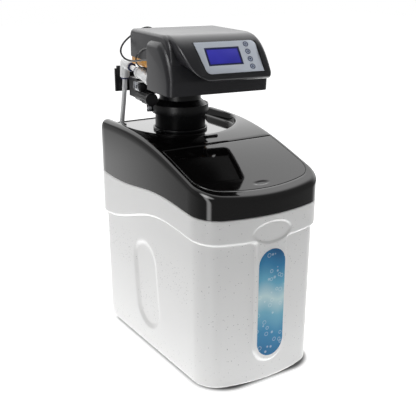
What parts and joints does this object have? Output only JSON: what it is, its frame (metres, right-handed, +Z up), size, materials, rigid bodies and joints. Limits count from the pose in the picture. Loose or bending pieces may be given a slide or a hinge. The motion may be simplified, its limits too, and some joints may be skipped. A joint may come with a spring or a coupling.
{
  "type": "water softener",
  "caption": "Cabinet water softener: a moulded salt cabinet with a gloss top and hinged salt lid, a resin vessel inside and a motor-driven control valve with a display on its neck.",
  "frame": {"origin": "on the floor, under the middle of the cabinet", "axes": "+Z up, -Y towards the front with the label, +X to the right as seen from the front"},
  "size_m": [0.257, 0.4436, 0.5952],
  "materials": {
    "cabinet_plastic": "satin, grey flecks",
    "label_print": "printed film",
    "gloss_black": "high gloss",
    "black_plastic": "moulded",
    "charcoal_plastic": "satin",
    "panel_film": "satin silver",
    "screen": "clear",
    "key_plastic": "satin",
    "white_plastic": "moulded",
    "navy_plastic": "moulded",
    "amber_plastic": "moulded",
    "board": "printed board",
    "steel": "plated",
    "seal_rubber": "moulded",
    "vessel_shell": "wound fibre",
    "resin": "fine beads",
    "disc_ceramic": "lapped",
    "turbine_plastic": "moulded"
  },
  "bodies": {
    "cabinet": {"cabinet": "cabinet_plastic", "front_label": "label_print", "top_cover": "gloss_black", "neck_collar": "black_plastic", "tube_grommet": "black_plastic", "overflow_elbow": "black_plastic", "overflow_seal": "seal_rubber", "overflow_nut": "black_plastic", "pressure_vessel": "vessel_shell", "vessel_neck": "black_plastic", "vessel_foot": "black_plastic", "resin_bed": "resin", "riser_tube": "white_plastic", "lower_strainer": "white_plastic", "upper_strainer": "white_plastic", "brine_well": "white_plastic", "brine_well_cap": "black_plastic", "brine_valve_body": "white_plastic", "valve_body": "black_plastic", "neck_seal": "seal_rubber", "clamp_ring": "black_plastic", "clamp_screw": "steel", "drive_frame": "amber_plastic", "valve_cover": "charcoal_plastic", "display_panel": "panel_film", "display_window": "screen", "display_board": "board", "fixed_disc": "disc_ceramic", "retaining_nut": "black_plastic", "drive_plate": "black_plastic", "gear_motor": "steel", "injector_body": "black_plastic", "injector_cover": "black_plastic", "injector_screws": "steel", "brine_connector": "white_plastic", "collet_clips": "navy_plastic", "stub_tube": "white_plastic", "brine_elbow": "white_plastic", "brine_housing": "black_plastic", "brine_clip": "steel", "brine_tube": "white_plastic", "inlet_tail": "black_plastic", "outlet_tail": "black_plastic", "port_nuts": "black_plastic", "port_bracket": "black_plastic", "drain_fitting": "black_plastic", "cover_screws": "steel", "sensor_lead": "seal_rubber", "motor_lead": "seal_rubber"},
    "salt_lid": {"salt_lid": "gloss_black"},
    "drive": {"drive_gear": "white_plastic", "moving_disc": "disc_ceramic"},
    "pinion": {"motor_pinion": "white_plastic"},
    "turbine": {"flow_turbine": "turbine_plastic"},
    "float": {"brine_float": "white_plastic", "float_rod": "white_plastic"},
    "menu_key": {"menu_key": "key_plastic"},
    "back_key": {"back_key": "key_plastic"},
    "down_key": {"down_key": "key_plastic"},
    "up_key": {"up_key": "key_plastic"}
  },
  "joints": [
    {"name": "salt_lid_hinge", "type": "hinge", "parent": "cabinet", "child": "salt_lid", "pos_m": [0, -0.0435, 0.39798], "axis": [-1, 0, 0], "range_deg": [0, 70]},
    {"name": "menu_key_press", "type": "slide", "parent": "cabinet", "child": "menu_key", "axis": [0.0828, 0.7879, -0.6101], "range_m": [0, 0.0008], "stiffness_N_per_m": 600, "springref_m": -0.0005},
    {"name": "back_key_press", "type": "slide", "parent": "cabinet", "child": "back_key", "axis": [0.0828, 0.7879, -0.6101], "range_m": [0, 0.0008], "stiffness_N_per_m": 600, "springref_m": -0.0005},
    {"name": "down_key_press", "type": "slide", "parent": "cabinet", "child": "down_key", "axis": [0.0828, 0.7879, -0.6101], "range_m": [0, 0.0008], "stiffness_N_per_m": 600, "springref_m": -0.0005},
    {"name": "up_key_press", "type": "slide", "parent": "cabinet", "child": "up_key", "axis": [0.0828, 0.7879, -0.6101], "range_m": [0, 0.0008], "stiffness_N_per_m": 600, "springref_m": -0.0005},
    {"name": "drive_turn", "type": "hinge", "parent": "cabinet", "child": "drive", "pos_m": [0, 0.092, 0.54], "axis": [0.1045, 0.9945, 0], "continuous": true},
    {"name": "pinion_turn", "type": "hinge", "parent": "cabinet", "child": "pinion", "pos_m": [0.0363, 0.08818, 0.51892], "axis": [0.1045, 0.9945, 0], "continuous": true},
    {"name": "turbine_spin", "type": "hinge", "parent": "cabinet", "child": "turbine", "pos_m": [-0.02597, 0.17014, 0.487], "axis": [0.1045, 0.9945, 0], "continuous": true},
    {"name": "float_rise", "type": "slide", "parent": "cabinet", "child": "float", "axis": [0, 0, 1], "range_m": [0, 0.03]}
  ],
  "couplings": [
    {"joint": "pinion_turn", "follows": "drive_turn", "ratio": -3}
  ]
}
